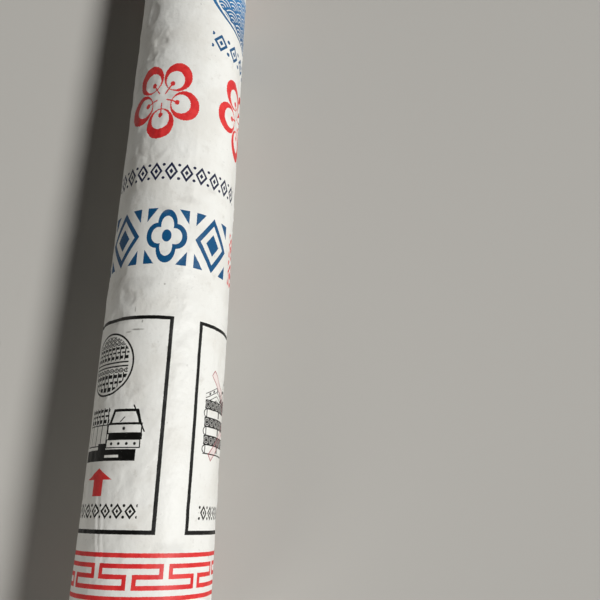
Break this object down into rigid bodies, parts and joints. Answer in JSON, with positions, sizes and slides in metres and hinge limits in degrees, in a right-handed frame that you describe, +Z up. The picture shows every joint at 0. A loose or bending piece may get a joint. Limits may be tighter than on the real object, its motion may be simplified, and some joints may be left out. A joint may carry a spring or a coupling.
{
  "type": "roll of roofing felt",
  "caption": "Wound roll of bitumen roofing felt with an open bore, in a printed paper wrapper glued along a lap, lying on its side.",
  "frame": {"origin": "on the floor, under the middle of the lying roll", "axes": "+Y along the roll's axis, towards the printed title's end; +Z up; +X to the right when looking along +Y"},
  "size_m": [0.1402, 1, 0.1395],
  "materials": {
    "bitumen_felt": "matt black bitumen-coated felt with pale mineral dust between the turns",
    "coated_paper": "glossy coated white paper with red, blue and black print"
  },
  "bodies": {
    "root": {"felt_roll": "bitumen_felt", "paper_wrapper": "coated_paper"}
  },
  "joints": []
}
